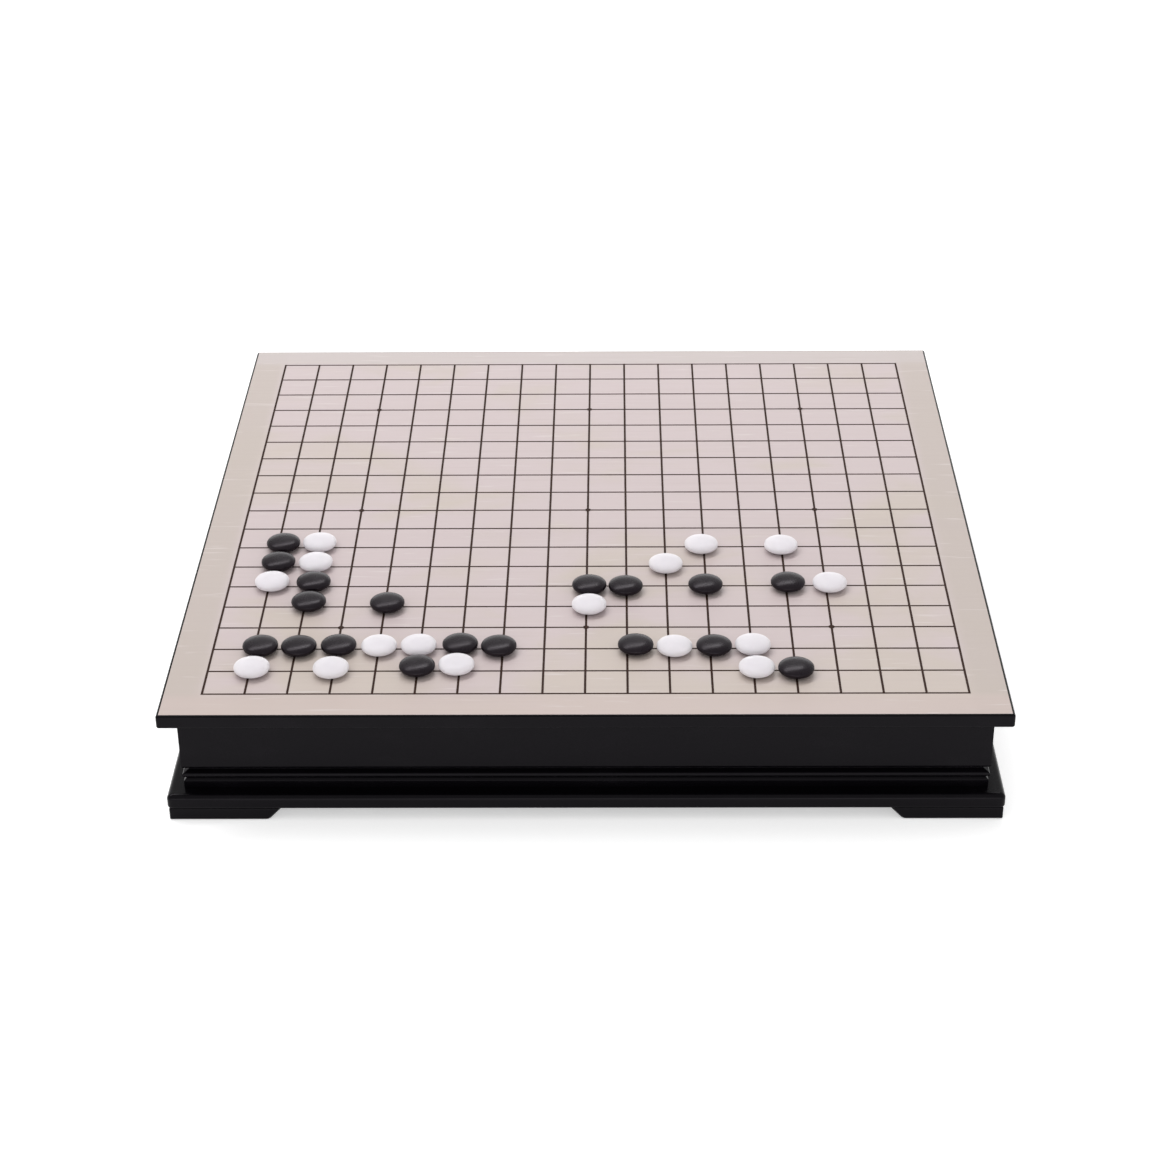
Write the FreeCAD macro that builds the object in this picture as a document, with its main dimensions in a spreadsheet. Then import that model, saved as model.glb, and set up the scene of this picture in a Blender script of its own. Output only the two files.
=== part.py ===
import FreeCAD, Part
import math
import os
import Sketcher
from FreeCAD import Placement, Rotation, Vector

# A go board on a low lacquered case with four bracket feet. Two drawers for the stones slide out of
# the case, one to the left (-X) and one to the right (+X). The front looks along -Y, +Z is up, and
# the origin is on the surface that the feet stand on, under the middle of the board.

OUT = "parts"
TOLERANCE = 1e-4
doc = FreeCAD.newDocument("go_board")

# ---------------------------------------------------------------------------------------------
# Driving dimensions, in millimetres, except counts. Heights in the moulding and in the drawer are
# measured from the underside of the case; depths in the moulding from the panel's face inwards.
# ---------------------------------------------------------------------------------------------
SIZES = {
    # playing board
    "grid_pitch": 22.0,
    "grid_lines": 19,
    "line_width": 1.2,
    "paint_thick": 0.05,
    "star_diameter": 3.4,
    "lines_to_star": 3,
    "veneer_border": 19.7,
    "veneer_thick": 0.6,
    "inlay_gap": 0.02,
    "edge_round": 1.5,
    "under_round": 1.1,
    "board_thick": 7.6,
    # case walls and their moulding
    "board_overhang": 9.0,
    "case_height": 42.6,
    "wall_thick": 15.0,
    "fillet_depth": 0.6,
    "fillet_height": 4.0,
    "fillet_round": 0.4,
    "quirk_depth": 1.9,
    "quirk_height": 5.3,
    "bead_depth": 0.1,
    "bead_low": 6.9,
    "bead_high": 8.5,
    "bead_round": 1.1,
    "cove_depth": 3.2,
    "cove_height": 9.9,
    "panel_low": 11.2,
    "panel_round": 2.8,
    "stile_width": 32.0,
    "divider_thick": 12.0,
    # drawers
    "front_gap": 0.5,
    "side_play": 0.8,
    "rear_gap": 1.0,
    "run_gap": 0.3,
    "rail_clear": 1.0,
    "box_thick": 8.0,
    "side_lap": 5.0,
    "back_inset": 6.0,
    "dado_depth": 3.0,
    "bottom_thick": 3.0,
    "bottom_lift": 3.0,
    "groove_depth": 4.0,
    "groove_gap": 0.1,
    "felt_thick": 1.0,
    "felt_gap": 0.3,
    "pull_radius": 18.0,
    "pull_depth": 12.0,
    # runners and kickers
    "ledge_width": 12.0,
    "guide_height": 30.0,
    "kicker_thick": 2.9,
    # base and feet
    "base_reach": 8.0,
    "base_thick": 8.0,
    "base_round": 3.0,
    "base_under_round": 1.2,
    "foot_height": 7.4,
    "foot_inset": 0.7,
    "foot_length": 59.0,
    "foot_slope": 7.0,
    "foot_thick": 20.0,
    "toe_round": 4.0,
    "foot_round": 1.2,
    "foot_chamfer": 0.8,
    # dowels between the walls and the board
    "dowel_inset": 23.2,
    "dowel_width": 7.0,
    "dowel_sunk": 4.0,
    "dowel_length": 14.0,
    "dowel_gap": 0.1,
    # stones
    "stone_diameter": 19.0,
    "stone_thick": 6.4,
    "stone_rim": 1.2,
    "stone_flat": 3.0,
    "stone_shoulder": 7.4,
    "stone_sides": 16,
}

# Stones stand on the crossings of the lines: columns are letters without I, rows are numbers from
# the front. Each was put down by hand, so it lies some way off its crossing: to the right, then to
# the back, in millimetres.
COLUMNS = "ABCDEFGHJKLMNOPQRST"
BLACK_STONES = {
    "B8": (3.5, 0.0),
    "B7": (3.0, 0.5),
    "C6": (3.0, 0.0),
    "C5": (2.5, 0.5),
    "E5": (1.5, -1.0),
    "B3": (3.5, -1.5),
    "C3": (2.0, -2.0),
    "D3": (1.0, -1.0),
    "G3": (-0.5, 0.0),
    "H3": (-2.0, -2.0),
    "F2": (0.0, 0.0),
    "K6": (1.5, -4.0),
    "L6": (-0.5, -5.0),
    "N6": (-0.5, -3.5),
    "P6": (1.0, -1.5),
    "L3": (4.5, -1.0),
    "N3": (2.0, -2.0),
    "P2": (0.0, -2.5),
}
WHITE_STONES = {
    "C8": (2.0, 0.5),
    "C7": (2.0, 0.0),
    "B6": (2.0, 0.5),
    "E3": (0.5, -1.5),
    "F3": (-0.5, -1.0),
    "B2": (1.5, -1.0),
    "D2": (-1.0, -1.5),
    "G2": (-1.5, 1.5),
    "K5": (1.5, -3.0),
    "M7": (0.0, -2.5),
    "N8": (-1.5, -2.5),
    "P8": (-0.5, -3.5),
    "Q6": (2.0, -2.0),
    "M3": (3.0, -2.5),
    "O3": (0.5, -1.0),
    "O2": (1.5, -1.5),
}

sheet = doc.addObject("Spreadsheet::Sheet", "sizes")
for row, (alias, size) in enumerate(SIZES.items(), start=1):
    sheet.set(f"A{row}", alias)
    sheet.set(f"B{row}", str(size))
    sheet.setAlias(f"B{row}", alias)
doc.recompute()


def cell(alias):
    """The formula that reads one cell of the sheet."""
    return f"sizes.{alias}"


def number(formula):
    """A formula's value now, for the places where an object can't be bound to it."""
    return float(sheet.evalExpression(str(formula)))


# Formulas that several pieces share.
GRID_SPAN = "(sizes.grid_pitch * (sizes.grid_lines - 1))"
VENEER_WIDTH = f"({GRID_SPAN} + 2 * sizes.veneer_border)"
BOARD_WIDTH = f"({VENEER_WIDTH} + 2 * sizes.edge_round)"
CASE_WIDTH = f"({BOARD_WIDTH} - 2 * sizes.board_overhang)"
BASE_WIDTH = f"({CASE_WIDTH} + 2 * sizes.base_reach)"
CASE_LOW = "(sizes.foot_height + sizes.base_thick)"
CASE_TOP = f"({CASE_LOW} + sizes.case_height)"
BOARD_TOP = f"({CASE_TOP} + sizes.board_thick)"
INSIDE = f"({CASE_WIDTH} / 2 - sizes.wall_thick)"
OPENING_WIDTH = f"({CASE_WIDTH} - 2 * sizes.stile_width)"
RUN_LENGTH = f"({INSIDE} - sizes.divider_thick / 2)"
BOX_LOW = "(sizes.panel_low + sizes.rail_clear)"
BOX_TOP = "(sizes.case_height - sizes.kicker_thick - sizes.run_gap)"
BOX_HALF = f"({OPENING_WIDTH} / 2 - sizes.side_play)"
BOX_FRONT = f"(-{INSIDE})"
BOX_REAR = "(-sizes.divider_thick / 2 - sizes.rear_gap)"
SIDE_FRONT = f"({BOX_FRONT} - sizes.side_lap)"
BACK_REAR = f"({BOX_REAR} - sizes.back_inset)"
BACK_FRONT = f"({BACK_REAR} - sizes.box_thick)"
BOX_INNER = f"({BOX_HALF} - sizes.box_thick)"
FLOOR_LOW = f"({BOX_LOW} + sizes.bottom_lift)"
FLOOR_TOP = f"({FLOOR_LOW} + sizes.bottom_thick)"
PAINT_TOP = f"({BOARD_TOP} + 2 * sizes.paint_thick)"
DOWEL_OFFSET = f"({CASE_WIDTH} / 2 - sizes.dowel_inset)"
SOCKET_WIDTH = "(sizes.dowel_width + 2 * sizes.dowel_gap)"

nodes = []


def named(thing, label):
    """Keeps a finished sub-part for export under its own label."""
    thing.Label = label
    nodes.append(thing)
    return thing


def lift(thing, height, turn=0):
    """Turns a sub-part about the vertical axis, in degrees, and raises it to a bound height."""
    thing.Placement = Placement(Vector(0, 0, 0), Rotation(Vector(0, 0, 1), turn))
    thing.setExpression("Placement.Base.z", height)


def new_body(name):
    return doc.addObject("PartDesign::Body", name)


def new_sketch(body, plane):
    """A sketch on one of the body's own origin planes: XY, XZ or YZ."""
    sketch = body.newObject("Sketcher::SketchObject", f"{body.Name}_sketch")
    role = f"{plane}_Plane"
    support = [item for item in body.Origin.OriginFeatures if item.Role == role][0]
    sketch.AttachmentSupport = (support, [""])
    sketch.MapMode = "FlatFace"
    return sketch


def pin_point(sketch, geometry, point, across, up):
    """Ties one point of the sketch to two formulas."""
    for kind, formula in (("DistanceX", across), ("DistanceY", up)):
        rule = Sketcher.Constraint(kind, -1, 1, geometry, point, number(formula))
        index = sketch.addConstraint(rule)
        sketch.setExpression(f"Constraints[{index}]", str(formula))


def draw_outline(sketch, corners):
    """A closed chain of straight lines through corners, each a pair of formulas."""
    first = sketch.GeometryCount
    count = len(corners)
    spots = [Vector(number(across), number(up), 0) for across, up in corners]
    for index in range(count):
        line = Part.LineSegment(spots[index], spots[(index + 1) % count])
        sketch.addGeometry(line, False)
    for index in range(count):
        after = first + (index + 1) % count
        sketch.addConstraint(Sketcher.Constraint("Coincident", first + index, 2, after, 1))
    for index, (across, up) in enumerate(corners):
        pin_point(sketch, first + index, 1, across, up)


def draw_box(sketch, left, low, right, high):
    draw_outline(sketch, [(left, low), (right, low), (right, high), (left, high)])


def draw_square(sketch, width, across="0", up="0"):
    half = f"({width}) / 2"
    draw_box(sketch, f"{across} - {half}", f"{up} - {half}", f"{across} + {half}", f"{up} + {half}")


def draw_circle(sketch, across, up, radius):
    centre = Vector(number(across), number(up), 0)
    circle = Part.Circle(centre, Vector(0, 0, 1), number(radius))
    index = sketch.addGeometry(circle, False)
    pin_point(sketch, index, 3, across, up)
    rule = sketch.addConstraint(Sketcher.Constraint("Radius", index, number(radius)))
    sketch.setExpression(f"Constraints[{rule}]", radius)


def pad(body, sketch, length, both_ways=False, reverse=False):
    feature = body.newObject("PartDesign::Pad", f"{body.Name}_pad")
    feature.Profile = sketch
    feature.setExpression("Length", length)
    feature.SideType = "Symmetric" if both_ways else "One side"
    feature.Reversed = reverse
    doc.recompute()
    return feature


def pocket(body, sketch, depth=None, reverse=False):
    """Cuts a sketch out of the body, all the way through or to a bound depth, and tests that it cut."""
    before = body.Shape.Volume
    feature = body.newObject("PartDesign::Pocket", f"{body.Name}_pocket")
    feature.Profile = sketch
    if depth is None:
        feature.Type = "ThroughAll"
        feature.SideType = "Symmetric"
    else:
        feature.setExpression("Length", depth)
        feature.Reversed = reverse
    doc.recompute()
    if not body.Shape.Volume < before - 1e-6:
        raise RuntimeError(f"{feature.Name} cuts nothing")
    return feature


def edges_at(feature, **where):
    """The names of the edges whose ends all lie at the given x, y or z."""
    names = []
    for index, edge in enumerate(feature.Shape.Edges, start=1):
        ends = [vertex.Point for vertex in edge.Vertexes]
        gaps = [abs(getattr(end, axis) - place) for end in ends for axis, place in where.items()]
        if max(gaps) < TOLERANCE:
            names.append(f"Edge{index}")
    if not names:
        raise RuntimeError(f"{feature.Name} has no edge at {where}")
    return names


def upright_edges(feature, half):
    """The four upright corner edges of a square block."""
    places = [(x, y) for x in (-half, half) for y in (-half, half)]
    return [name for x, y in places for name in edges_at(feature, x=x, y=y)]


def fillet(body, feature, names, radius):
    rounding = body.newObject("PartDesign::Fillet", f"{body.Name}_fillet")
    rounding.Base = (feature, names)
    rounding.setExpression("Radius", radius)
    doc.recompute()
    return rounding


def chamfer(body, feature, names, size):
    bevel = body.newObject("PartDesign::Chamfer", f"{body.Name}_chamfer")
    bevel.Base = (feature, names)
    bevel.setExpression("Size", size)
    doc.recompute()
    return bevel


def round_slab(body, width, thick, round_over, under_round):
    """A square slab with a rounded top arris and corners, and a smaller rounding underneath."""
    plan = new_sketch(body, "XY")
    draw_square(plan, width)
    slab = pad(body, plan, cell(thick))
    over = edges_at(slab, z=number(cell(thick))) + upright_edges(slab, number(width) / 2)
    slab = fillet(body, slab, over, cell(round_over))
    fillet(body, slab, edges_at(slab, z=0), cell(under_round))


# ---------------------------------------------------------------------------------------------
# Playing board: a lacquered core with a rounded rim, a veneer let into its top and painted lines
# ---------------------------------------------------------------------------------------------
def make_board_core():
    body = new_body("board_core")
    round_slab(body, BOARD_WIDTH, "board_thick", "edge_round", "under_round")
    recess = new_sketch(body, "XY")
    recess.setExpression("AttachmentOffset.Base.z", "sizes.board_thick - sizes.veneer_thick")
    draw_square(recess, VENEER_WIDTH)
    pocket(body, recess, cell("board_thick"), reverse=True)
    sockets = new_sketch(body, "XY")
    for x, y in dowel_places():
        draw_square(sockets, SOCKET_WIDTH, x, y)
    pocket(body, sockets, "sizes.dowel_sunk + sizes.dowel_gap", reverse=True)
    lift(body, CASE_TOP)
    named(body, "board_core")


def make_board_veneer():
    body = new_body("board_veneer")
    plan = new_sketch(body, "XY")
    draw_square(plan, f"({VENEER_WIDTH} - 2 * sizes.inlay_gap)")
    pad(body, plan, cell("veneer_thick"))
    lift(body, f"{BOARD_TOP} - sizes.veneer_thick")
    named(body, "board_veneer")


def make_lines(label, height, turn):
    """One set of parallel lines, painted in one pass; the second pass lies over the first."""
    group = []
    count = int(number(cell("grid_lines")))
    for index in range(count):
        line = doc.addObject("Part::Box", f"{label}_line")
        line.setExpression("Length", f"{GRID_SPAN} + sizes.line_width")
        line.setExpression("Width", cell("line_width"))
        line.setExpression("Height", cell("paint_thick"))
        line.setExpression("Placement.Base.x", f"-({GRID_SPAN} + sizes.line_width) / 2")
        offset = f"{index} * sizes.grid_pitch - {GRID_SPAN} / 2 - sizes.line_width / 2"
        line.setExpression("Placement.Base.y", offset)
        group.append(line)
    lines = doc.addObject("Part::Compound", label)
    lines.Links = group
    lift(lines, height, turn)
    named(lines, label)


def make_star_points():
    """Nine small dots, where the third, the middle and the third last lines from each edge cross."""
    dots = []
    ends = f"({GRID_SPAN} / 2 - sizes.lines_to_star * sizes.grid_pitch)"
    places = [f"-{ends}", "0", ends]
    for x in places:
        for y in places:
            dot = doc.addObject("Part::Prism", "star_point")
            dot.Polygon = 16
            dot.setExpression("Circumradius", "sizes.star_diameter / 2")
            dot.setExpression("Height", cell("paint_thick"))
            dot.setExpression("Placement.Base.x", x)
            dot.setExpression("Placement.Base.y", y)
            dots.append(dot)
    points = doc.addObject("Part::Compound", "star_points")
    points.Links = dots
    lift(points, PAINT_TOP)
    named(points, "star_points")


# ---------------------------------------------------------------------------------------------
# Case: four walls, mitred at the corners, with one moulding that runs round all of them
# ---------------------------------------------------------------------------------------------
def wall_face(depth):
    """Where a depth in the moulding lies, on a wall whose face looks along -Y."""
    return f"(-{CASE_WIDTH} / 2 + {depth})"


def dowel_places():
    """Two square dowels up into the board from each wall, in the middle of the wall's thickness."""
    side = f"({CASE_WIDTH} / 2 - sizes.wall_thick / 2)"
    front_and_back = [(f"{a}{DOWEL_OFFSET}", f"{b}{side}") for a in ("-", "") for b in ("-", "")]
    left_and_right = [(y, x) for x, y in front_and_back]
    return front_and_back + left_and_right


def make_wall(label, turn, has_drawer):
    body = new_body(label)
    profile = new_sketch(body, "YZ")
    inner = f"(-{INSIDE})"
    steps = [
        ("sizes.fillet_depth", "0"),
        ("sizes.fillet_depth", "sizes.fillet_height"),
        ("sizes.quirk_depth", "sizes.quirk_height"),
        ("sizes.bead_depth", "sizes.bead_low"),
        ("sizes.bead_depth", "sizes.bead_high"),
        ("sizes.cove_depth", "sizes.cove_height"),
        ("sizes.cove_depth", "sizes.panel_low"),
        ("0", "sizes.panel_low"),
        ("0", "sizes.case_height"),
    ]
    corners = [(wall_face(depth), height) for depth, height in steps]
    draw_outline(profile, corners + [(inner, "sizes.case_height"), (inner, "0")])
    stick = pad(body, profile, CASE_WIDTH, both_ways=True)
    for depth, heights, radius in (
        ("0", ("sizes.panel_low",), "panel_round"),
        ("sizes.bead_depth", ("sizes.bead_low", "sizes.bead_high"), "bead_round"),
        ("sizes.fillet_depth", ("sizes.fillet_height",), "fillet_round"),
    ):
        face = number(wall_face(depth))
        arrises = [name for height in heights for name in edges_at(stick, y=face, z=number(height))]
        stick = fillet(body, stick, arrises, cell(radius))
    half = f"({CASE_WIDTH} / 2)"
    if has_drawer:
        opening = new_sketch(body, "XZ")
        edge = f"({OPENING_WIDTH} / 2)"
        draw_box(opening, f"-{edge}", cell("panel_low"), edge, "2 * sizes.case_height")
        pocket(body, opening)
    mitres = new_sketch(body, "XY")
    for side in ("-", ""):
        past = "sizes.wall_thick"
        draw_outline(
            mitres,
            [
                (f"{side}({half} + {past})", f"-{half} - {past}"),
                (f"{side}({half} + {past})", f"{inner} + {past}"),
                (f"{side}({half} - 2 * {past})", f"{inner} + {past}"),
            ],
        )
    pocket(body, mitres)
    middle = wall_face("sizes.wall_thick / 2")
    sockets = new_sketch(body, "XY")
    sockets.setExpression("AttachmentOffset.Base.z", cell("case_height"))
    for side in ("-", ""):
        draw_square(sockets, SOCKET_WIDTH, f"{side}{DOWEL_OFFSET}", middle)
    pocket(body, sockets, "sizes.dowel_length - sizes.dowel_sunk + sizes.dowel_gap")
    lift(body, CASE_LOW, turn)
    named(body, label)


def make_divider():
    """The wall between the drawers, from the front wall to the back wall, which carries the board."""
    body = new_body("centre_divider")
    plan = new_sketch(body, "XY")
    half = "sizes.divider_thick / 2"
    draw_box(plan, f"-{half}", f"-{INSIDE}", half, INSIDE)
    pad(body, plan, cell("case_height"))
    lift(body, CASE_LOW)
    named(body, "centre_divider")


def make_runner(label, side, turn):
    """An L-shaped strip along the front or back wall: it guides a drawer's side and carries it."""
    body = new_body(label)
    profile = new_sketch(body, "YZ")
    ledge = f"({BOX_LOW} - sizes.run_gap)"
    guide = f"(-{OPENING_WIDTH} / 2)"
    draw_outline(
        profile,
        [
            (f"-{INSIDE}", "0"),
            (f"{guide} + sizes.ledge_width", "0"),
            (f"{guide} + sizes.ledge_width", ledge),
            (guide, ledge),
            (guide, cell("guide_height")),
            (f"-{INSIDE}", cell("guide_height")),
        ],
    )
    profile.setExpression("AttachmentOffset.Base.z", f"{side}({INSIDE} + sizes.divider_thick / 2) / 2")
    pad(body, profile, RUN_LENGTH, both_ways=True)
    lift(body, CASE_LOW, turn)
    named(body, label)


def make_kickers(label, side):
    """Strips under the board, over both sides of a drawer: they stop it tipping when it is out."""
    strips = []
    for near_edge in (f"-{INSIDE}", f"{OPENING_WIDTH} / 2 - sizes.ledge_width"):
        strip = doc.addObject("Part::Box", f"{label}_strip")
        strip.setExpression("Length", RUN_LENGTH)
        strip.setExpression("Width", f"sizes.ledge_width + {INSIDE} - {OPENING_WIDTH} / 2")
        strip.setExpression("Height", cell("kicker_thick"))
        start = "sizes.divider_thick / 2" if side > 0 else f"-{INSIDE}"
        strip.setExpression("Placement.Base.x", start)
        strip.setExpression("Placement.Base.y", near_edge)
        strips.append(strip)
    kickers = doc.addObject("Part::Compound", label)
    kickers.Links = strips
    lift(kickers, f"{CASE_TOP} - sizes.kicker_thick")
    named(kickers, label)


# ---------------------------------------------------------------------------------------------
# Drawers: each is drawn with its front looking along -Y and then turned to its side of the case
# ---------------------------------------------------------------------------------------------
def make_drawer_front(label, turn):
    """The middle of the wall's panel: it carries on the panel's rounding, has a half-moon pull at the
    top and is rebated behind its ends for the sides."""
    body = new_body(label)
    profile = new_sketch(body, "YZ")
    face = wall_face("0")
    low = "(sizes.panel_low + sizes.front_gap)"
    high = "(sizes.case_height - sizes.front_gap)"
    groove = f"({BOX_FRONT} - sizes.groove_depth)"
    groove_low = f"({FLOOR_LOW} - sizes.groove_gap)"
    groove_high = f"({FLOOR_TOP} + sizes.groove_gap)"
    draw_outline(
        profile,
        [
            (face, low),
            (BOX_FRONT, low),
            (BOX_FRONT, groove_low),
            (groove, groove_low),
            (groove, groove_high),
            (BOX_FRONT, groove_high),
            (BOX_FRONT, high),
            (face, high),
        ],
    )
    stick = pad(body, profile, f"{OPENING_WIDTH} - 2 * sizes.front_gap", both_ways=True)
    arris = edges_at(stick, y=number(face), z=number(low))
    fillet(body, stick, arris, cell("panel_round"))
    rebates = new_sketch(body, "XY")
    for side in ("-", ""):
        end = f"{side}{OPENING_WIDTH} / 2"
        draw_box(rebates, f"{side}{BOX_INNER}", SIDE_FRONT, end, f"{BOX_FRONT} + sizes.side_lap")
    pocket(body, rebates)
    pull = new_sketch(body, "XZ")
    draw_circle(pull, "0", f"{high} + sizes.pull_radius - sizes.pull_depth", cell("pull_radius"))
    pocket(body, pull)
    lift(body, CASE_LOW, turn)
    named(body, label)


def make_drawer_side(label, side, turn):
    """It runs from the rebate in the front to the box's rear end, with a dado across it for the back."""
    body = new_body(label)
    profile = new_sketch(body, "XZ")
    outer = BOX_HALF
    inner = BOX_INNER
    groove = f"({inner} + sizes.groove_depth)"
    groove_low = f"({FLOOR_LOW} - sizes.groove_gap)"
    groove_high = f"({FLOOR_TOP} + sizes.groove_gap)"
    corners = [
        (outer, BOX_LOW),
        (outer, BOX_TOP),
        (inner, BOX_TOP),
        (inner, groove_high),
        (groove, groove_high),
        (groove, groove_low),
        (inner, groove_low),
        (inner, BOX_LOW),
    ]
    draw_outline(profile, [(f"{side}{across}", up) for across, up in corners])
    profile.setExpression("AttachmentOffset.Base.z", f"-({SIDE_FRONT} + {BOX_REAR}) / 2")
    pad(body, profile, f"{BOX_REAR} - {SIDE_FRONT}", both_ways=True)
    dado = new_sketch(body, "XY")
    clear_of_box = f"{side}({inner} - sizes.box_thick)"
    deep = f"{side}({inner} + sizes.dado_depth)"
    draw_box(dado, clear_of_box, BACK_FRONT, deep, BACK_REAR)
    pocket(body, dado)
    lift(body, CASE_LOW, turn)
    named(body, label)


def make_drawer_back(label, turn):
    """The back stands on the drawer's bottom, with its ends in the sides' dadoes."""
    body = new_body(label)
    plan = new_sketch(body, "XY")
    end = f"({BOX_INNER} + sizes.dado_depth - sizes.groove_gap)"
    draw_box(plan, f"-{end}", BACK_FRONT, end, BACK_REAR)
    pad(body, plan, f"{BOX_TOP} - {FLOOR_TOP}")
    lift(body, f"{CASE_LOW} + {FLOOR_TOP}", turn)
    named(body, label)


def make_drawer_bottom(label, turn):
    """A thin panel in the grooves of the front and the sides; it runs out under the back."""
    body = new_body(label)
    plan = new_sketch(body, "XY")
    edge = f"({BOX_INNER} + sizes.groove_depth - sizes.groove_gap)"
    front = f"{BOX_FRONT} - sizes.groove_depth + sizes.groove_gap"
    draw_box(plan, f"-{edge}", front, edge, BOX_REAR)
    pad(body, plan, cell("bottom_thick"))
    lift(body, f"{CASE_LOW} + {FLOOR_LOW}", turn)
    named(body, label)


def make_drawer_felt(label, turn):
    body = new_body(label)
    plan = new_sketch(body, "XY")
    edge = f"({BOX_INNER} - sizes.felt_gap)"
    rear = f"{BACK_FRONT} - sizes.felt_gap"
    draw_box(plan, f"-{edge}", f"{BOX_FRONT} + sizes.felt_gap", edge, rear)
    pad(body, plan, cell("felt_thick"))
    lift(body, f"{CASE_LOW} + {FLOOR_TOP}", turn)
    named(body, label)


# ---------------------------------------------------------------------------------------------
# Base plate, feet and dowels
# ---------------------------------------------------------------------------------------------
def make_base_plate():
    body = new_body("base_plate")
    round_slab(body, BASE_WIDTH, "base_thick", "base_round", "base_under_round")
    lift(body, cell("foot_height"))
    named(body, "base_plate")


def make_foot(label, turn):
    """A corner bracket with two legs; each leg's free end slopes in to a rounded toe. Its corner and
    top arrises are rounded, which leaves a fine groove all along the joint with the base plate."""
    body = new_body(label)
    corner = f"(-{BASE_WIDTH} / 2 + sizes.foot_inset)"
    high = cell("foot_height")
    toe = f"({corner} + sizes.foot_length - sizes.foot_slope)"
    leg = [
        (corner, "0"),
        (toe, "0"),
        (f"({corner} + sizes.foot_length)", high),
        (corner, high),
    ]
    for plane, flip in (("XZ", "-"), ("YZ", "")):
        profile = new_sketch(body, plane)
        draw_outline(profile, leg)
        middle = f"({corner} + sizes.foot_thick / 2)"
        profile.setExpression("AttachmentOffset.Base.z", f"{flip}{middle}")
        bracket = pad(body, profile, cell("foot_thick"), both_ways=True)
    toes = edges_at(bracket, x=number(toe), z=0) + edges_at(bracket, y=number(toe), z=0)
    bracket = fillet(body, bracket, toes, cell("toe_round"))
    outer = number(corner)
    ground = edges_at(bracket, x=outer, z=0) + edges_at(bracket, y=outer, z=0)
    bracket = chamfer(body, bracket, ground, cell("foot_chamfer"))
    seam = edges_at(bracket, x=outer, z=number(high)) + edges_at(bracket, y=outer, z=number(high))
    fillet(body, bracket, seam + edges_at(bracket, x=outer, y=outer), cell("foot_round"))
    body.Placement = Placement(Vector(0, 0, 0), Rotation(Vector(0, 0, 1), turn))
    named(body, label)


def make_dowels():
    dowels = []
    for x, y in dowel_places():
        dowel = doc.addObject("Part::Box", "dowel")
        dowel.setExpression("Length", cell("dowel_width"))
        dowel.setExpression("Width", cell("dowel_width"))
        dowel.setExpression("Height", cell("dowel_length"))
        dowel.setExpression("Placement.Base.x", f"{x} - sizes.dowel_width / 2")
        dowel.setExpression("Placement.Base.y", f"{y} - sizes.dowel_width / 2")
        dowels.append(dowel)
    group = doc.addObject("Part::Compound", "board_dowels")
    group.Links = dowels
    lift(group, f"{CASE_TOP} + sizes.dowel_sunk - sizes.dowel_length")
    named(group, "board_dowels")


# ---------------------------------------------------------------------------------------------
# Stones: two shallow domes joined round a narrow rim, in flat facets
# ---------------------------------------------------------------------------------------------
def stone_levels():
    """Each ring of corners as its radius and its height over the board, from the bottom up."""
    edge = number("sizes.stone_diameter / 2")
    flat = number(cell("stone_flat"))
    half_rim = number("sizes.stone_rim / 2")
    rise = number("(sizes.stone_thick - sizes.stone_rim) / 2")
    upper = []
    for radius in (edge, number(cell("stone_shoulder")), flat):
        share = (edge**2 - radius**2) / (edge**2 - flat**2)
        upper.append((radius, half_rim + rise * share))
    lower = [(radius, -height) for radius, height in reversed(upper)]
    return [(radius, height + half_rim + rise) for radius, height in lower + upper]


def stone_solid():
    sides = int(number(cell("stone_sides")))
    rings = []
    for radius, height in stone_levels():
        turns = [2 * math.pi * side / sides for side in range(sides)]
        rings.append([Vector(radius * math.cos(a), radius * math.sin(a), height) for a in turns])
    outlines = [rings[0], rings[-1]]
    for below, above in zip(rings, rings[1:]):
        for side in range(sides):
            after = (side + 1) % sides
            outlines.append([below[side], below[after], above[after], above[side]])
    faces = [Part.Face(Part.makePolygon(outline + outline[:1])) for outline in outlines]
    return Part.makeSolid(Part.makeShell(faces))


def make_stones(label, places):
    pitch = number(cell("grid_pitch"))
    middle = (number(cell("grid_lines")) - 1) / 2
    pattern = stone_solid()
    copies = []
    for point, (right, back) in places.items():
        column = COLUMNS.index(point[0]) - middle
        line = int(point[1:]) - 1 - middle
        stone = pattern.copy()
        stone.translate(Vector(column * pitch + right, line * pitch + back, 0))
        copies.append(stone)
    stones = doc.addObject("Part::Feature", label)
    stones.Shape = Part.makeCompound(copies)
    lift(stones, PAINT_TOP)
    named(stones, label)


make_board_core()
make_board_veneer()
make_lines("lengthwise_lines", BOARD_TOP, 0)
make_lines("crosswise_lines", f"{BOARD_TOP} + sizes.paint_thick", 90)
make_star_points()

make_wall("front_wall", 0, has_drawer=False)
make_wall("right_wall", 90, has_drawer=True)
make_wall("back_wall", 180, has_drawer=False)
make_wall("left_wall", 270, has_drawer=True)
make_divider()
make_runner("front_left_runner", "-", 0)
make_runner("front_right_runner", "", 0)
make_runner("back_right_runner", "-", 180)
make_runner("back_left_runner", "", 180)
make_kickers("left_kickers", -1)
make_kickers("right_kickers", 1)

for hand, angle, front_sign, back_sign in (("left", 270, "", "-"), ("right", 90, "-", "")):
    make_drawer_front(f"{hand}_drawer_front", angle)
    make_drawer_side(f"{hand}_drawer_front_side", front_sign, angle)
    make_drawer_side(f"{hand}_drawer_back_side", back_sign, angle)
    make_drawer_back(f"{hand}_drawer_rear", angle)
    make_drawer_bottom(f"{hand}_drawer_bottom", angle)
    make_drawer_felt(f"{hand}_drawer_felt", angle)

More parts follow.
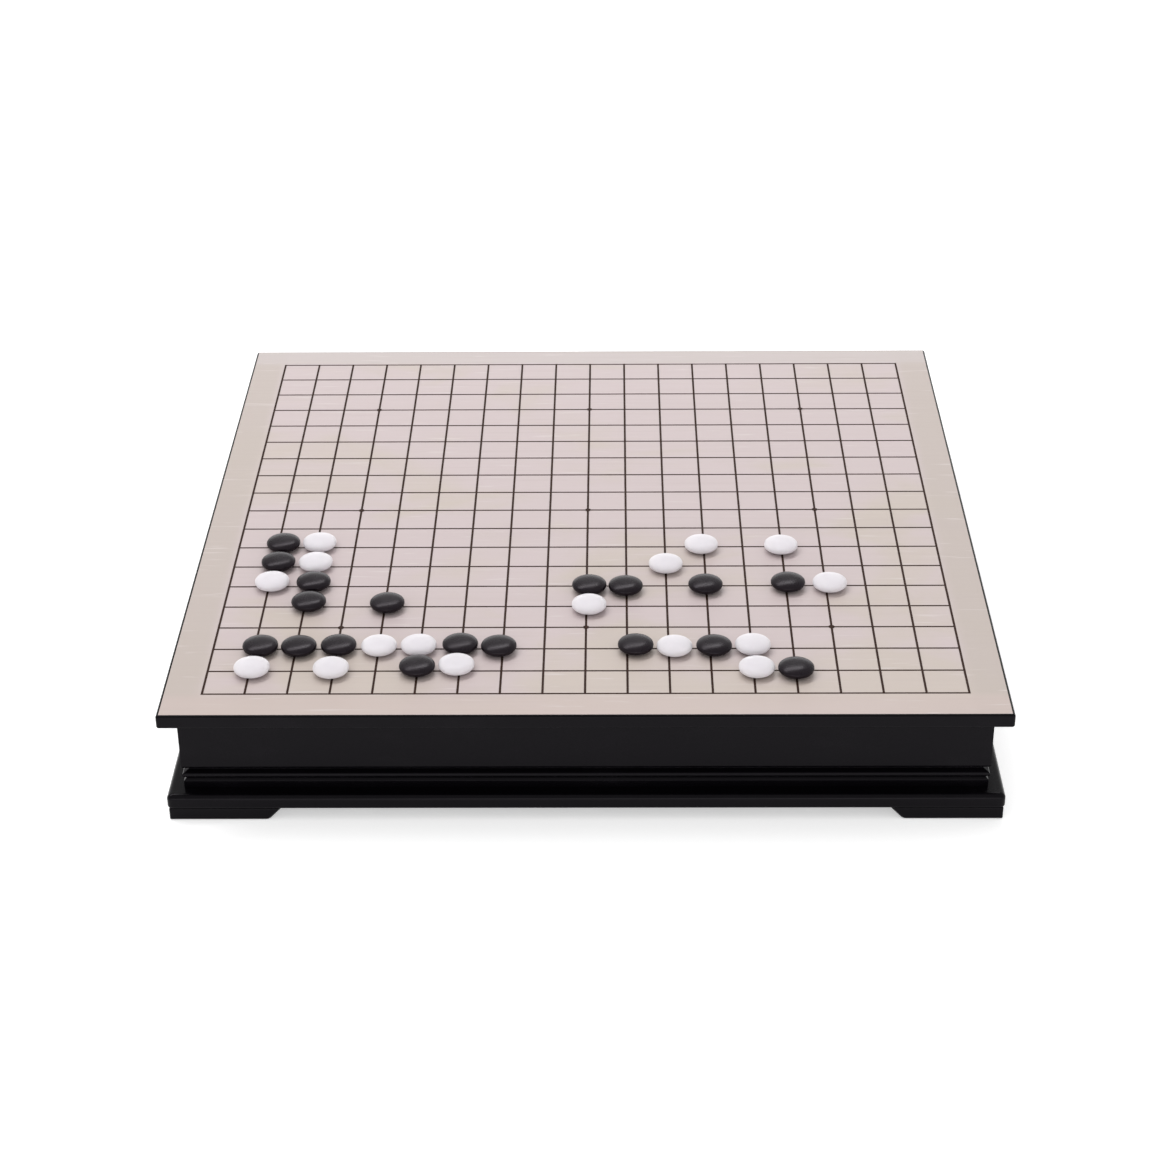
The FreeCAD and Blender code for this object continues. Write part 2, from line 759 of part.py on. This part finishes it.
make_base_plate()
for place, angle in (("front_left", 0), ("front_right", 90), ("back_right", 180), ("back_left", 270)):
    make_foot(f"{place}_foot", angle)
make_dowels()
make_stones("black_stones", BLACK_STONES)
make_stones("white_stones", WHITE_STONES)

doc.recompute()
for thing in doc.Objects:
    if {"Invalid", "Error"} & set(thing.State):
        raise RuntimeError(f"{thing.Label} failed: {thing.State}")
for node in nodes:
    if node.Shape.isNull() or not node.Shape.isValid():
        raise RuntimeError(f"{node.Label} has no valid shape")

os.makedirs(OUT, exist_ok=True)
for node in nodes:
    node.Shape.exportStep(os.path.join(OUT, f"{node.Label}.step"))
print(f"{len(nodes)} sub-parts written")
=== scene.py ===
"""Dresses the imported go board: materials, stones, felts and screws; then floor, lights, camera."""

import math

import bmesh
import bpy
from mathutils import Matrix, Vector, noise


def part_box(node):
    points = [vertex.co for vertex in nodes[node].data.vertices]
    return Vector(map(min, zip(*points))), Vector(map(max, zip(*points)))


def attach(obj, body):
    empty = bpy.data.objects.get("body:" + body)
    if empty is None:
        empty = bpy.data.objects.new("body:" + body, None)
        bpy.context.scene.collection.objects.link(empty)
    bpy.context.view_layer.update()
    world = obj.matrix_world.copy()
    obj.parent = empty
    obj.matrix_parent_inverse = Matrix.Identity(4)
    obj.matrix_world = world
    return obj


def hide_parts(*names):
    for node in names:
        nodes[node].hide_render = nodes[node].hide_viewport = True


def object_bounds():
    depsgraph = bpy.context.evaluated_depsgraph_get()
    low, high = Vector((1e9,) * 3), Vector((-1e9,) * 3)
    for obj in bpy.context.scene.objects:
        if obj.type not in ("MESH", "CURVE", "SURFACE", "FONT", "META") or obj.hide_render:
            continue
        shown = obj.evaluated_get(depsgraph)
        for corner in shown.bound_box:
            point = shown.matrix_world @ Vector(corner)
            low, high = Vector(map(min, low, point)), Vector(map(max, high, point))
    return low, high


MM = 0.001
# Lengths below this count as none.
TINY = 0.001 * MM

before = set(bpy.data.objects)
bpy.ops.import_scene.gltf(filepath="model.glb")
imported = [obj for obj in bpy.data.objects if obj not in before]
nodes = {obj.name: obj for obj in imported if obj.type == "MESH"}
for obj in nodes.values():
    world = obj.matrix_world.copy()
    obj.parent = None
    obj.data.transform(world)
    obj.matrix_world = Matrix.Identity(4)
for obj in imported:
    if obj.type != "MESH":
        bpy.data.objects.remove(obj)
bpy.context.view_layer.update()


# ---- Shader graphs ----


class Graph:
    """One material's node graph: numbers are set on sockets, and sockets linked to sockets.

    The colour and roughness given at the start are the plain ones; patterns are linked over them.
    """

    # The Mix node has sockets for each type of data; these are the places of its colours.
    FIRST_COLOUR, SECOND_COLOUR, MIXED_COLOUR = 6, 7, 2

    def __init__(self, name, colour, roughness, **settings):
        self.material = bpy.data.materials.new(name)
        self.material.use_nodes = True
        self.tree = self.material.node_tree
        self.shader = self.tree.nodes["Principled BSDF"]
        self.coordinates = self.add("TexCoord").outputs["Object"]
        self.set(self.shader, "Base Color", colour)
        self.set(self.shader, "Roughness", roughness)
        for label, value in settings.items():
            self.set(self.shader, label.replace("_", " "), value)

    def add(self, kind):
        """A new node of a kind, such as TexNoise."""
        return self.tree.nodes.new("ShaderNode" + kind)

    def set(self, node, key, value):
        """Links or sets one input of a node, found by its label or its place."""
        socket = node.inputs[key]
        if isinstance(value, bpy.types.NodeSocket):
            self.tree.links.new(value, socket)
        elif socket.type == "RGBA":
            socket.default_value = (*value, 1.0)
        else:
            socket.default_value = value

    def drive(self, label, value):
        """Links one input of the shader."""
        self.set(self.shader, label, value)

    def stretched(self, scale):
        """The piece's coordinates, scaled along each axis to so many noise features per metre."""
        node = self.add("Mapping")
        self.set(node, "Vector", self.coordinates)
        self.set(node, "Scale", scale)
        return node.outputs[0]

    def noise(self, vector, detail, roughness=0.5, distortion=0.0):
        """Noise between 0 and 1 over a vector that is already stretched."""
        node = self.add("TexNoise")
        self.set(node, "Vector", vector)
        self.set(node, "Scale", 1.0)
        self.set(node, "Detail", detail)
        self.set(node, "Roughness", roughness)
        self.set(node, "Distortion", distortion)
        return node.outputs[0]

    def spread(self, value, span, onto=(0.0, 1.0)):
        """Spreads a value smoothly from the ends of its span onto two other ends, and clamps it."""
        node = self.add("MapRange")
        node.interpolation_type = "SMOOTHSTEP"
        for key, number in enumerate((value, *span, *onto)):
            self.set(node, key, number)
        return node.outputs[0]

    def maths(self, operation, first, second=0.0):
        """One of Blender's Math operations, such as ADD, on two numbers."""
        node = self.add("Math")
        node.operation = operation
        self.set(node, 0, first)
        self.set(node, 1, second)
        return node.outputs[0]

    def mix(self, share, first, second):
        """The first colour with a share of the second."""
        node = self.add("Mix")
        node.data_type = "RGBA"
        self.set(node, "Factor", share)
        self.set(node, self.FIRST_COLOUR, first)
        self.set(node, self.SECOND_COLOUR, second)
        return node.outputs[self.MIXED_COLOUR]

    def tinted(self, ground, tint, pattern, span, most=1.0):
        """The ground colour, turning into at most a share of the tint where a pattern is high."""
        return self.mix(self.spread(pattern, span, onto=(0.0, most)), ground, tint)

    def axis(self, letter):
        """The piece's x, y or z in metres."""
        node = self.add("SeparateXYZ")
        self.set(node, 0, self.coordinates)
        return node.outputs["XYZ".index(letter)]

    def bump(self, height, depth, strength):
        """Dents the surface by height times depth, in metres, at a strength up to 1."""
        node = self.add("Bump")
        self.set(node, "Height", height)
        self.set(node, "Distance", depth)
        self.set(node, "Strength", strength)
        self.drive("Normal", node.outputs[0])


# ---- Materials ----


def lacquer():
    """Sprayed black lacquer: a deep gloss with faint orange peel, dust and rubbed patches."""
    deep, worn = (0.0017, 0.0014, 0.0021), (0.0032, 0.0027, 0.0037)
    gloss, dust = (0.17, 0.27), (0.0, 0.08)
    g = Graph("black_lacquer", deep, roughness=0.2, Specular_IOR_Level=0.095)
    g.set(g.shader, "Specular Tint", (0.98, 0.93, 1.0))
    rubbed = g.noise(g.stretched((22, 22, 40)), detail=4.0, roughness=0.6)
    nibs = g.noise(g.stretched((900, 900, 900)), detail=1.0)
    haze = g.spread(rubbed, (0.30, 0.75), onto=gloss)
    g.drive("Roughness", g.maths("ADD", haze, g.spread(nibs, (0.66, 0.80), onto=dust)))
    g.drive("Base Color", g.tinted(deep, worn, rubbed, (0.52, 0.78)))
    peel = g.noise(g.stretched((240, 240, 240)), detail=2.0)
    g.bump(peel, depth=0.06 * MM, strength=0.25)
    return g.material


def figured_wood(name, along, pale, deep, roughness, contrast, coat):
    """Straight-grained wood. along is 'X' or 'Y', the way the grain runs."""
    grain = (0.3, 0.7)
    g = Graph(
        name,
        pale,
        roughness,
        Specular_IOR_Level=0.4,
        Coat_Weight=coat,
        Coat_Roughness=0.22,
    )

    def fibre(lengthwise, across):
        """Coordinates for noise that is drawn out along the grain: features per metre each way."""
        scale = (lengthwise, across, across) if along == "X" else (across, lengthwise, across)
        return g.stretched(scale)

    bands = g.noise(fibre(1.6, 26), detail=3.0, roughness=0.55, distortion=0.35)
    streaks = g.noise(fibre(7, 240), detail=4.0, roughness=0.62, distortion=0.2)
    pores = g.noise(fibre(40, 1500), detail=2.0, roughness=0.6)
    banded = g.tinted(pale, deep, bands, grain, most=0.5 * contrast)
    streaked = g.tinted(banded, deep, streaks, grain, most=0.4 * contrast)
    g.drive("Base Color", g.tinted(streaked, deep, pores, (0.45, 0.70), most=0.2))
    g.drive("Roughness", g.spread(streaks, grain, onto=(roughness - 0.05, roughness + 0.06)))
    relief = g.maths("ADD", g.maths("MULTIPLY", streaks, 0.6), pores)
    g.bump(relief, depth=0.12 * MM, strength=0.35)
    return g.material


def veneer(grid_half):
    """The playing face: pale maple, pink inside the grid, warmer on the border, finely flecked.
    Painted shade darkens the side borders and the front; a painted reflection makes the back border
    paler.
    """
    rose = (0.491, 0.411, 0.411)
    straw = (0.470, 0.402, 0.360)
    # The borders' warmer tone is the veneer's own. The darker side colour is painted shade, and the
    # paler, greyer back colour is a painted reflection.
    front_border = (0.472, 0.388, 0.358)
    back_border_painted_reflection = (0.468, 0.414, 0.402)
    side_border_painted_shade = (0.426, 0.366, 0.330)
    fleck = (0.560, 0.505, 0.490)
    shade = (0.400, 0.330, 0.315)
    satin = (0.33, 0.42)
    g = Graph("maple_veneer", rose, roughness=0.36, Specular_IOR_Level=0.5)

    backwards = g.axis("Y")
    forwards = g.maths("MULTIPLY", backwards, -1.0)
    sideways = g.maths("ABSOLUTE", g.axis("X"))
    drift = g.noise(g.stretched((9, 13, 1)), detail=3.0, roughness=0.6, distortion=0.6)
    # Painted shade: the ground turns to the darker, yellower straw towards the front.
    front_painted_shade = g.spread(backwards, (-210 * MM, -20 * MM), onto=(0.14, 0.0))
    ground = g.tinted(rose, straw, g.maths("ADD", drift, front_painted_shade), (0.48, 0.70))
    outside_grid = (grid_half - 3 * MM, grid_half + 5 * MM)
    borders = ((sideways, side_border_painted_shade), (forwards, front_border), (backwards, back_border_painted_reflection))
    for outwards, border in borders:
        ground = g.tinted(ground, border, outwards, outside_grid, most=0.85)

    rings = g.noise(g.stretched((1.1, 34, 1)), detail=4.0, roughness=0.6, distortion=0.5)
    ground = g.tinted(ground, shade, rings, (0.5, 0.8), most=0.28)
    fine = g.noise(g.stretched((9, 420, 1)), detail=4.0, roughness=0.65)
    ground = g.tinted(ground, shade, fine, (0.5, 0.8), most=0.22)
    dashes = g.noise(g.stretched((26, 330, 1)), detail=2.0, distortion=0.3)
    g.drive("Base Color", g.tinted(ground, fleck, dashes, (0.62, 0.76), most=0.6))
    g.drive("Roughness", g.spread(fine, (0.3, 0.7), onto=satin))
    relief = g.maths("ADD", fine, g.maths("MULTIPLY", dashes, 0.5))
    g.bump(relief, depth=0.04 * MM, strength=0.3)
    return g.material


def line_paint():
    """Screen-printed lines: dark brown ink that is a little thin over the grain."""
    full, bare = (0.030, 0.014, 0.010), (0.060, 0.036, 0.029)
    matt = (0.50, 0.65)
    g = Graph("line_paint", full, roughness=0.55, Specular_IOR_Level=0.07)
    thin = g.noise(g.stretched((60, 900, 1)), detail=3.0, roughness=0.6)
    g.drive("Base Color", g.tinted(full, bare, thin, (0.50, 0.75)))
    g.drive("Roughness", g.spread(thin, (0.3, 0.7), onto=matt))
    g.bump(thin, depth=0.02 * MM, strength=0.3)
    return g.material


def felt_cloth():
    """Black wool felt: matted fibres in every direction, a soft nap and a little lint."""
    dark, light, lint = (0.008, 0.008, 0.009), (0.030, 0.030, 0.033), (0.090, 0.090, 0.095)
    g = Graph(
        "felt",
        dark,
        roughness=0.95,
        Sheen_Weight=0.2,
        Sheen_Roughness=0.6,
        Specular_IOR_Level=0.15,
    )
    matted = g.noise(g.stretched((700, 700, 700)), detail=5.0, roughness=0.75, distortion=1.5)
    clouds = g.noise(g.stretched((35, 35, 35)), detail=3.0, roughness=0.6)
    threads = g.noise(g.stretched((260, 900, 900)), detail=1.0)
    tufts = g.spread(matted, (0.35, 0.75))
    worn = g.spread(clouds, (0.25, 0.80), onto=(0.5, 1.0))
    cloth = g.mix(g.maths("MULTIPLY", tufts, worn), dark, light)
    g.drive("Base Color", g.tinted(cloth, lint, threads, (0.74, 0.80), most=0.5))
    g.bump(matted, depth=0.6 * MM, strength=0.6)
    return g.material


def stone_glass(name, deep, light, roughness, specular, milky):
    """Pressed glass with a satin skin and tiny pits. Light spreads inside milky glass."""
    light_spread = 15 * MM
    dulled = (0.0, 0.07)
    g = Graph(name, deep, roughness, Specular_IOR_Level=specular, Subsurface_Weight=milky)
    g.set(g.shader, "Subsurface Radius", (1.0, 1.0, 1.0))
    g.set(g.shader, "Subsurface Scale", light_spread)
    g.set(g.shader, "Specular Tint", (1.0, 0.91, 1.0))
    clouds = g.noise(g.stretched((90, 90, 90)), detail=4.0, roughness=0.6)
    pits = g.noise(g.stretched((1600, 1600, 1600)), detail=2.0)
    g.drive("Base Color", g.tinted(deep, light, clouds, (0.35, 0.75)))
    soft = g.spread(clouds, (0.30, 0.75), onto=(roughness - 0.04, roughness + 0.05))
    g.drive("Roughness", g.maths("ADD", soft, g.spread(pits, (0.62, 0.78), onto=dulled)))
    g.bump(pits, depth=0.04 * MM, strength=0.25)
    return g.material


def plated_steel():
    """Zinc-plated screws, a little dulled in patches."""
    bright, dull = (0.58, 0.57, 0.55), (0.45, 0.43, 0.39)
    patches = (0.3, 0.7)
    sheen = (0.24, 0.42)
    g = Graph("plated_steel", bright, roughness=0.32, Metallic=1.0)
    brushed = g.noise(g.stretched((2500, 2500, 400)), detail=3.0, roughness=0.6)
    g.drive("Roughness", g.spread(brushed, patches, onto=sheen))
    tarnish = g.noise(g.stretched((300, 300, 300)), detail=2.0)
    g.drive("Base Color", g.tinted(bright, dull, tarnish, patches))
    g.bump(brushed, depth=0.02 * MM, strength=0.3)
    return g.material


def pale_floor():
    """White paper that glows a little, as if lit from below, so that shadows on it stay faint."""
    white, off_white = (0.88, 0.88, 0.88), (0.86, 0.86, 0.86)
    g = Graph(
        "pale_floor", white, roughness=0.9, Specular_IOR_Level=0.0, Emission_Strength=0.45
    )
    g.set(g.shader, "Emission Color", (1.0, 1.0, 1.0))
    paper = g.noise(g.stretched((3, 3, 3)), detail=2.0)
    g.drive("Base Color", g.mix(paper, off_white, white))
    return g.material


# ---- Mesh pieces ----


def new_piece(name, mesh, material, body, stands_for=()):
    """An object that rides on a body, and may take a slot's finish and stand for CAD nodes."""
    piece = bpy.data.objects.new(name, mesh)
    bpy.context.scene.collection.objects.link(piece)
    mesh.materials.append(material)
    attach(piece, body)
    if stands_for:
        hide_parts(*stands_for)
    return piece


def round_solids(node):
    """The middle's x and y and the radius of each round solid in a CAD node, in order of x."""
    shape = bmesh.new()
    shape.from_mesh(nodes[node].data)
    bmesh.ops.remove_doubles(shape, verts=shape.verts, dist=TINY)
    unseen = set(shape.verts)
    solids = []
    while unseen:
        # One solid's corners are all that can be reached from one of them along edges.
        reached = [unseen.pop()]
        found = []
        while reached:
            corner = reached.pop()
            found.append(corner.co.copy())
            for edge in corner.link_edges:
                other = edge.other_vert(corner)
                if other in unseen:
                    unseen.remove(other)
                    reached.append(other)
        left, right = min(co.x for co in found), max(co.x for co in found)
        front, back = min(co.y for co in found), max(co.y for co in found)
        solids.append(((left + right) / 2, (front + back) / 2, (right - left) / 2))
    shape.free()
    return sorted(solids)


def stone_profile(radius, half_height, rings):
    """Points down from the top pole round the rim to the bottom pole, as (radius, height)."""
    # An ellipse has a fullness of 2, and a larger one is nearer to a box.
    fullness = 2.35
    upper = []
    for step in range(rings):
        turn = math.pi / 2 * step / rings
        out = radius * math.sin(turn) ** (2 / fullness)
        up = half_height * math.cos(turn) ** (2 / fullness)
        upper.append((out, up))
    lower = [(distance, -height) for distance, height in reversed(upper)]
    return upper + [(radius, 0.0)] + lower


def add_turned(shape, profile, middle, sides):
    """Adds the solid that a profile of (radius, height) sweeps about a vertical through middle."""
    rings = []
    for radius, height in profile:
        at_pole = radius < TINY
        angles = [2 * math.pi * side / sides for side in range(1 if at_pole else sides)]
        spokes = [Vector((radius * math.cos(a), radius * math.sin(a), height)) for a in angles]
        rings.append([shape.verts.new(middle + spoke) for spoke in spokes])
    add_bands(shape, rings, sides)


def add_bands(shape, rings, sides):
    """Joins each ring of corners to the next. A ring of one corner is a pole."""
    for above, below in zip(rings, rings[1:]):
        for side in range(sides):
            after = (side + 1) % sides
            corners = [above[side % len(above)], below[side % len(below)]]
            corners += [below[after % len(below)], above[after % len(above)]]
            face = shape.faces.new(list(dict.fromkeys(corners)))
            face.smooth = True


def finished_mesh(name, shape):
    """The mesh of a closed shape, which is freed."""
    bmesh.ops.recalc_face_normals(shape, faces=shape.faces)
    mesh = bpy.data.meshes.new(name)
    shape.to_mesh(mesh)
    shape.free()
    return mesh


def make_stones(colour, material):
    """Smooth stones in the places of the CAD model's faceted ones."""
    node = colour + "_stones"
    name = "smooth_" + node
    low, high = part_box(node)
    half_height = (high.z - low.z) / 2
    shape = bmesh.new()
    for x, y, radius in round_solids(node):
        profile = stone_profile(radius, half_height, rings=14)
        add_turned(shape, profile, Vector((x, y, low.z + half_height)), sides=56)
    new_piece(name, finished_mesh(name, shape), material, node, [node])


def felt_surface(low, high, x, y):
    """The height of a felt's upper face: pressed down along the cut edges and a little uneven."""
    # The press and the unevenness are shares of the felt's thickness.
    edge_width, edge_press = 2.5 * MM, 0.35
    unevenness, waves_per_metre, layer = 0.12, 40, 3.0
    from_edge = min(x - low.x, high.x - x, y - low.y, high.y - y)
    pressed = edge_press * max(0.0, 1 - from_edge / edge_width) ** 2
    spot = Vector((x * waves_per_metre, y * waves_per_metre, layer))
    rolling = unevenness * (1 + noise.noise(spot))
    return low.z + (high.z - low.z) * (1 - pressed - rolling)


def make_felt(side, material):
    """A cut rectangle of felt that lies on a drawer's bottom."""
    node = side + "_drawer_felt"
    low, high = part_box(node)
    width, length, _ = high - low
    columns, rows = 72, 136
    shape = bmesh.new()
    top, bottom = {}, {}
    for row in range(rows + 1):
        for column in range(columns + 1):
            x = low.x + width * column / columns
            y = low.y + length * row / rows
            top[row, column] = shape.verts.new((x, y, felt_surface(low, high, x, y)))
            bottom[row, column] = shape.verts.new((x, y, low.z))
    for row in range(rows):
        for column in range(columns):
            places = [(row, column), (row, column + 1), (row + 1, column + 1), (row + 1, column)]
            for level in (top, bottom):
                face = shape.faces.new([level[place] for place in places])
                face.smooth = True
    rim = [(0, column) for column in range(columns)]
    rim += [(row, columns) for row in range(rows)]
    rim += [(rows, column) for column in range(columns, 0, -1)]
    rim += [(row, 0) for row in range(rows, 0, -1)]
    for place, after in zip(rim, rim[1:] + rim[:1]):
        shape.faces.new([top[place], bottom[place], bottom[after], top[after]])
    name = node + "_lining"
    piece = new_piece(name, finished_mesh(name, shape), material, side + "_drawer", [node])


def add_screw_head(shape, middle, turn):
    """Adds a raised head with a cross recess that hangs from middle, turned about the vertical."""
    radius, rise, sunk = 3.6 * MM, 1.0 * MM, 0.4 * MM
    blade_half, blade_reach = 0.42 * MM, 1.9 * MM
    recess, slope = 0.65 * MM, 0.16 * MM
    rings, sides = 16, 64

    def ramp(distance, limit):
        """1 well inside the limit and 0 outside it, with a short slope between."""
        return min(1.0, max(0.0, (limit - distance) / slope + 0.5))

    def drop(x, y):
        """How far the head's face is below the face that the screw is driven into."""
        dome = rise * (1 - (x * x + y * y) / radius**2)
        across, along = sorted((abs(x), abs(y)))
        return dome - recess * ramp(across, blade_half) * ramp(along, blade_reach)

    def corner(x, y, height):
        return shape.verts.new(middle + Matrix.Rotation(turn, 3, "Z") @ Vector((x, y, height)))

    angles = [2 * math.pi * side / sides for side in range(sides)]
    loops = [[corner(0, 0, -drop(0, 0))]]
    for ring in range(1, rings + 1):
        out = radius * ring / rings
        points = [(out * math.cos(a), out * math.sin(a)) for a in angles]
        loops.append([corner(x, y, -drop(x, y)) for x, y in points])
    # The outermost ring again, sunk into what the screw holds.
    loops.append([corner(x, y, sunk) for x, y in points])
    loops.append([corner(0, 0, sunk)])
    add_bands(shape, loops, sides)


def make_screws(material):
    """The screws that hold the base plate: three along each wall, driven up into its lower edge."""
    wall_low, wall_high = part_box("front_wall")
    front = (wall_low.y + wall_high.y) / 2
    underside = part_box("base_plate")[0].z
    spacing = 120 * MM
    scatter = 37.0
    quarter_turn = math.pi / 2
    shape = bmesh.new()
    for wall in range(4):
        to_wall = Matrix.Rotation(wall * quarter_turn, 3, "Z")
        for place in (-spacing, 0.0, spacing):
            middle = to_wall @ Vector((place, front, underside))
            add_screw_head(shape, middle, turn=math.pi * noise.noise(middle * scatter))
    new_piece("base_screws", finished_mesh("base_screws", shape), material, "case")


# ---- Making the pieces ----

WOODS = {
    "inner_wood": {
        "pale": (0.52, 0.38, 0.24),
        "deep": (0.36, 0.23, 0.125),
        "roughness": 0.62,
        "contrast": 0.8,
        "coat": 0.0,
    },
    "drawer_wood": {
        "pale": (0.56, 0.43, 0.29),
        "deep": (0.36, 0.24, 0.13),
        "roughness": 0.45,
        "contrast": 0.9,
        "coat": 0.3,
    },
}
STONES = {
    "black": {
        "deep": (0.0075, 0.0050, 0.0070),
        "light": (0.0100, 0.0070, 0.0092),
        "roughness": 0.28,
        "specular": 0.165,
        "milky": 0.0,
    },
    "white": {
        "deep": (0.622, 0.592, 0.627),
        "light": (0.652, 0.622, 0.657),
        "roughness": 0.40,
        "specular": 0.09,
        "milky": 1.0,
    },
}


def paint_nodes():
    """Gives each CAD node that stays visible its finish, with any grain along its longer side."""
    finishes = {
        "black_lacquer": lacquer(),
        "maple_veneer": veneer(grid_half=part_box("lengthwise_lines")[1].x),
        "line_paint": line_paint(),
    }
    for along in "XY":
        for wood, look in WOODS.items():
            finishes[wood + along] = figured_wood(wood + "_" + along, along, **look)
    for name, piece in nodes.items():
        low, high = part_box(name)
        along = "X" if high.x - low.x >= high.y - low.y else "Y"
        painted = piece.material_slots[0]
        finish = painted.material.name
        # The stones' and felts' own materials stay: new pieces stand for those nodes.
        painted.material = finishes.get(finish) or finishes.get(finish + along) or painted.material


paint_nodes()
for colour, look in STONES.items():
    make_stones(colour, stone_glass(colour + "_stone", **look))
felt = felt_cloth()
for side in ("left", "right"):
    make_felt(side, felt)
make_screws(plated_steel())


# ---- Floor, lights and camera ----


def make_floor():
    """A floor that the feet stand on and that runs past the picture's edges."""
    reach = 14.0
    corners = [(-reach, -reach, 0), (reach, -reach, 0), (reach, reach, 0), (-reach, reach, 0)]
    mesh = bpy.data.meshes.new("floor")
    mesh.from_pydata(corners, [], [range(4)])
    mesh.materials.append(pale_floor())
    floor = bpy.data.objects.new("floor", mesh)
    floor.location.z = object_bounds()[0].z
    bpy.context.scene.collection.objects.link(floor)


def make_world(overhead, horizon):
    """White light from all round, brighter low down, as from a studio's pale walls."""
    # Between these heights of a unit direction, the pale walls give way to the ceiling.
    walls_end, ceiling_starts = 0.08, 0.25
    world = bpy.data.worlds.new("studio")
    bpy.context.scene.world = world
    world.use_nodes = True
    tree = world.node_tree
    background = tree.nodes["Background"]
    background.inputs["Color"].default_value = (1.0, 1.0, 1.0, 1.0)
    direction = tree.nodes.new("ShaderNodeTexCoord")
    parts = tree.nodes.new("ShaderNodeSeparateXYZ")
    strength = tree.nodes.new("ShaderNodeMapRange")
    strength.inputs["From Min"].default_value = walls_end
    strength.inputs["From Max"].default_value = ceiling_starts
    strength.inputs["To Min"].default_value = horizon
    strength.inputs["To Max"].default_value = overhead
    tree.links.new(direction.outputs["Generated"], parts.inputs[0])
    tree.links.new(parts.outputs["Z"], strength.inputs["Value"])
    tree.links.new(strength.outputs[0], background.inputs["Strength"])


def make_softbox(name, place, target, size, watts):
    """A rectangular light at a place, facing a target. The camera doesn't see it."""
    light = bpy.data.lights.new(name, "AREA")
    light.shape = "RECTANGLE"
    light.size, light.size_y = size
    light.energy = watts
    lamp = bpy.data.objects.new(name, light)
    lamp.location = place
    lamp.rotation_mode = "QUATERNION"
    lamp.rotation_quaternion = (Vector(target) - Vector(place)).to_track_quat("-Z", "Y")
    lamp.visible_camera = False
    bpy.context.scene.collection.objects.link(lamp)


def make_camera():
    """The photograph's viewpoint, as its grid lines give it: in front, above, a little right."""
    lens, sensor = 78.47, 36.0
    nearest, farthest = 0.05, 60.0
    place = Vector((14.8, -1306.3, 776.0)) * MM
    yaw, pitch, roll = (math.radians(angle) for angle in (0.74, 30.22, 0.50))
    ahead = Vector(
        (-math.sin(yaw) * math.cos(pitch), math.cos(yaw) * math.cos(pitch), -math.sin(pitch))
    )
    right = Vector((math.cos(yaw), math.sin(yaw), 0))
    down = ahead.cross(right)
    rolled_right = math.cos(roll) * right + math.sin(roll) * down
    rolled_up = math.sin(roll) * right - math.cos(roll) * down
    data = bpy.data.cameras.new("camera")
    data.lens = lens
    data.sensor_width = sensor
    data.clip_start, data.clip_end = nearest, farthest
    camera = bpy.data.objects.new("camera", data)
    turn = Matrix((rolled_right, rolled_up, -ahead)).transposed()
    camera.matrix_world = Matrix.Translation(place) @ turn.to_4x4()
    bpy.context.scene.collection.objects.link(camera)
    bpy.context.scene.camera = camera


make_floor()
make_world(overhead=0.785, horizon=1.02)
# The key lights the board and draws the streak across each black stone. The back one gleams in the
# rounded rims, and the front one fills the case's front and the stones' lower edges.
make_softbox(
    "key_softbox", place=(-0.6, 0.86, 2.1), target=(0, 0, 0.05), size=(3.1, 0.52), watts=35
)
make_softbox(
    "back_softbox", place=(0, 3.0, 0.65), target=(0, 0, 0.3), size=(3.2, 1.1), watts=12
)
make_softbox(
    "front_softbox", place=(0, -2.6, 0.45), target=(0, 0, 0.05), size=(3.6, 0.6), watts=14
)
make_camera()
bpy.context.scene.view_settings.view_transform = "Standard"
